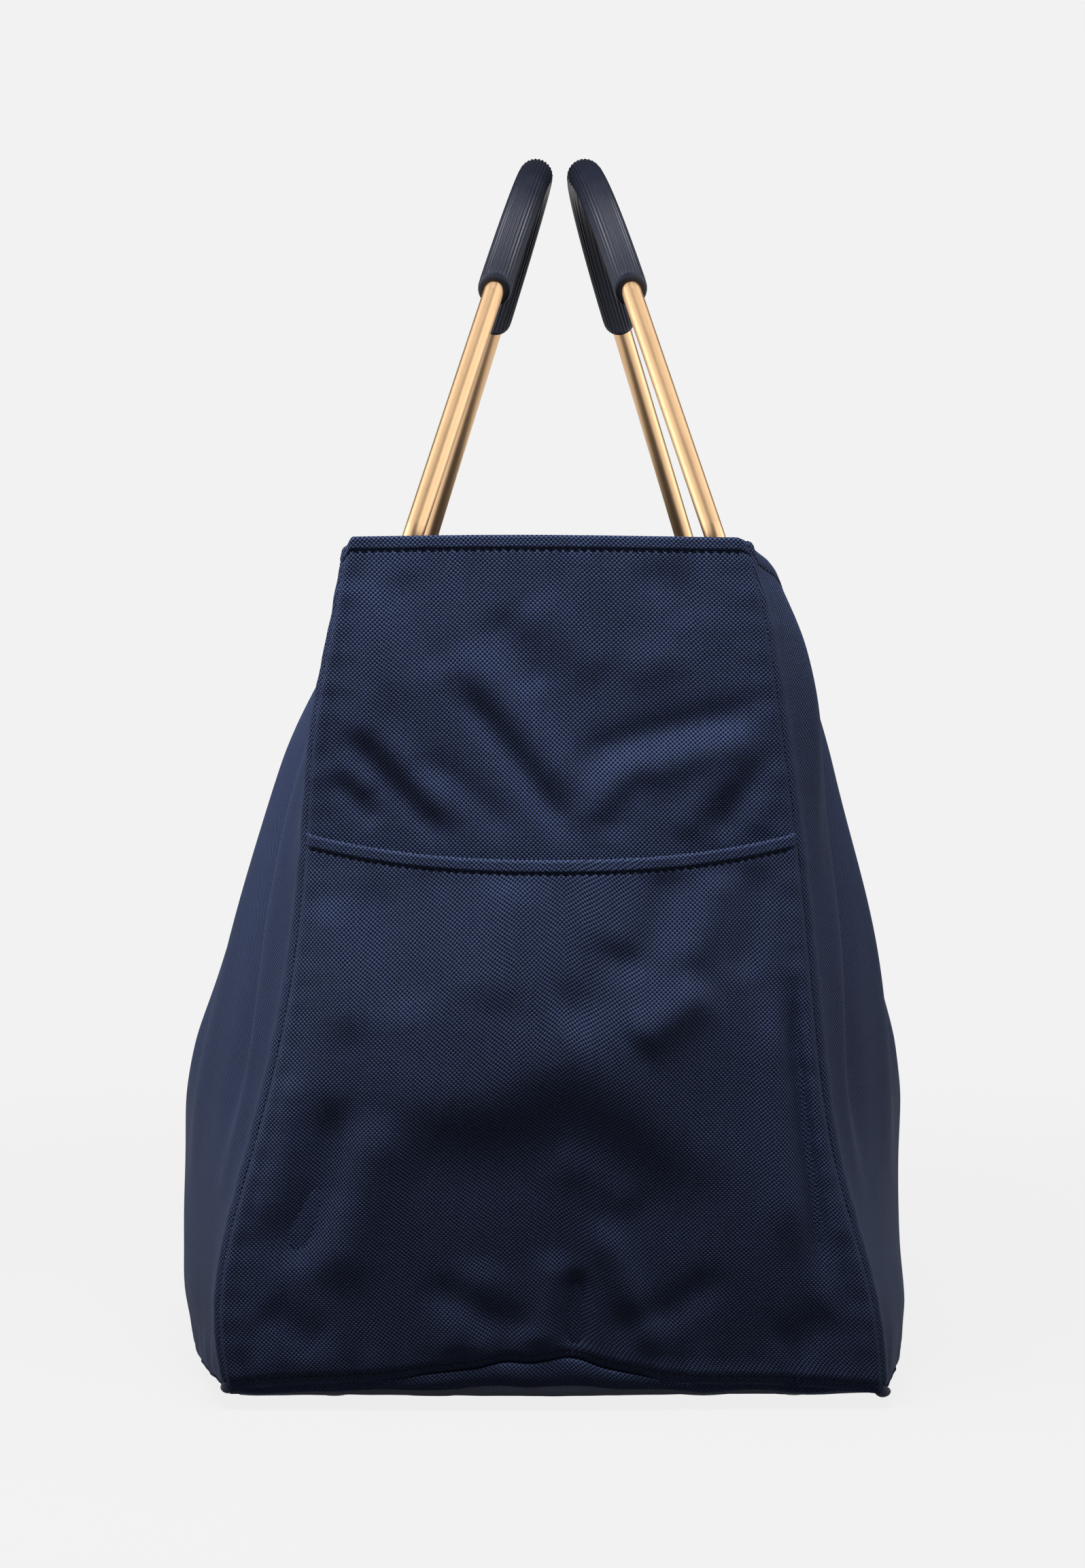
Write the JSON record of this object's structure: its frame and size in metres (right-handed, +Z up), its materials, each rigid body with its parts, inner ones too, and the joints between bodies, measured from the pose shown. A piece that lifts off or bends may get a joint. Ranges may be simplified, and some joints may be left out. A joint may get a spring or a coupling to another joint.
{
  "type": "loop-handled shopping bag",
  "caption": "Soft woven shopping bag with trapezoid end panels, a slip pocket on each end, and two swinging metal loop handles with soft grips.",
  "frame": {"origin": "on the floor, below the middle of the bag", "axes": "+Z up, +Y from the front end panel to the rear one, +X to the right as seen from the front end panel"},
  "size_m": [0.325, 0.464, 0.5257],
  "materials": {
    "navy_fabric": "coarse two-tone woven polyester, matt with a slight sheen",
    "seam_tape": "plain folded tape",
    "gold_aluminium": "satin anodised, light rose gold",
    "plain_aluminium": "mill finish",
    "soft_grip": "matt, fine lengthwise ribs",
    "board_plastic": "matt sheet",
    "foot_plastic": "satin moulded",
    "rivet_steel": "zinc plated"
  },
  "bodies": {
    "bag": {"end_panel_front": "navy_fabric", "rim_hem_front": "navy_fabric", "slip_pocket_front": "navy_fabric", "pocket_hem_front": "navy_fabric", "seam_binding_front_left": "seam_tape", "seam_binding_front_right": "seam_tape", "end_panel_rear": "navy_fabric", "rim_hem_rear": "navy_fabric", "slip_pocket_rear": "navy_fabric", "pocket_hem_rear": "navy_fabric", "seam_binding_rear_left": "seam_tape", "seam_binding_rear_right": "seam_tape", "side_panel_left": "navy_fabric", "handle_tunnel_left": "navy_fabric", "side_panel_right": "navy_fabric", "handle_tunnel_right": "navy_fabric", "base_panel": "navy_fabric", "base_binding": "seam_tape", "base_board": "board_plastic", "base_feet": "foot_plastic", "foot_washers": "rivet_steel", "foot_rivets": "rivet_steel"},
    "handle_left": {"handle_tube_left": "gold_aluminium", "handle_grip_left": "soft_grip", "tube_joiner_left": "plain_aluminium"},
    "handle_right": {"handle_tube_right": "gold_aluminium", "handle_grip_right": "soft_grip", "tube_joiner_right": "plain_aluminium"}
  },
  "joints": [
    {"name": "handle_left_swing", "type": "hinge", "parent": "bag", "child": "handle_left", "pos_m": [-0.0671, 0, 0.342], "axis": [0, 1, 0], "range_deg": [-140, 0.9]},
    {"name": "handle_right_swing", "type": "hinge", "parent": "bag", "child": "handle_right", "pos_m": [0.0671, 0, 0.342], "axis": [0, -1, 0], "range_deg": [-140, 0.9]}
  ]
}
